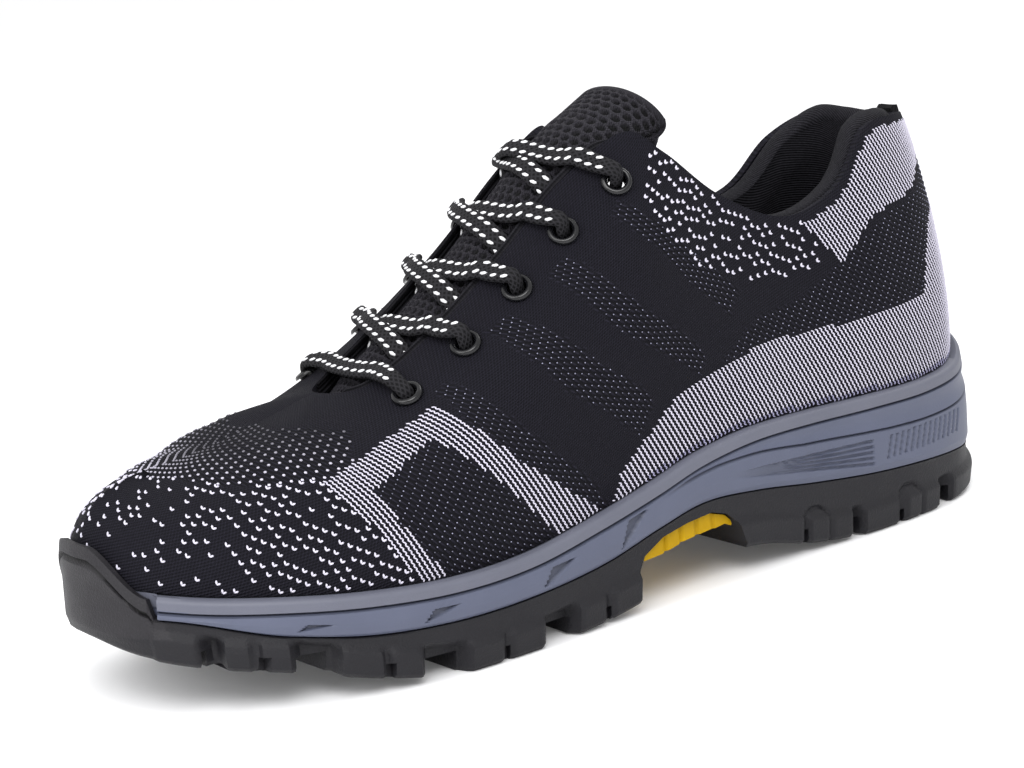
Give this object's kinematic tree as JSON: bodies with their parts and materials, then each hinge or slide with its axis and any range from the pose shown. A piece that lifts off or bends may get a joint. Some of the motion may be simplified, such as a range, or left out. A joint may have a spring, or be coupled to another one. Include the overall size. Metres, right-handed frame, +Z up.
{
  "type": "safety sneaker",
  "caption": "Low safety sneaker with a knitted upper, padded collar, crossed laces, a rubber toe bumper and a two-part lugged sole.",
  "frame": {"origin": "on the floor, under the middle of the shoe's length and width", "axes": "+X towards the toe, +Y towards the outer side of a left foot, +Z up"},
  "size_m": [0.2923, 0.1042, 0.1366],
  "materials": {
    "knit": "knitted",
    "padding": "matte",
    "spacer_mesh": "open mesh",
    "foam": "matte foam",
    "rubber": "matte",
    "yellow_insert": "satin",
    "lace": "woven",
    "eyelet": "gloss black",
    "insole": "matte"
  },
  "bodies": {
    "root": {"upper": "knit", "collar_padding": "padding", "throat_facing_outer": "knit", "throat_facing_inner": "knit", "tongue": "spacer_mesh", "heel_tape": "padding", "insole": "insole", "midsole": "foam", "outsole": "rubber", "arch_insert": "yellow_insert", "eyelet_outer_1": "eyelet", "eyelet_outer_2": "eyelet", "eyelet_outer_3": "eyelet", "eyelet_outer_4": "eyelet", "eyelet_outer_5": "eyelet", "eyelet_inner_1": "eyelet", "eyelet_inner_2": "eyelet", "eyelet_inner_3": "eyelet", "eyelet_inner_4": "eyelet", "eyelet_inner_5": "eyelet", "lace_bar": "lace", "lace_cross_1": "lace", "lace_cross_2": "lace", "lace_cross_3": "lace", "lace_cross_4": "lace"}
  },
  "joints": []
}
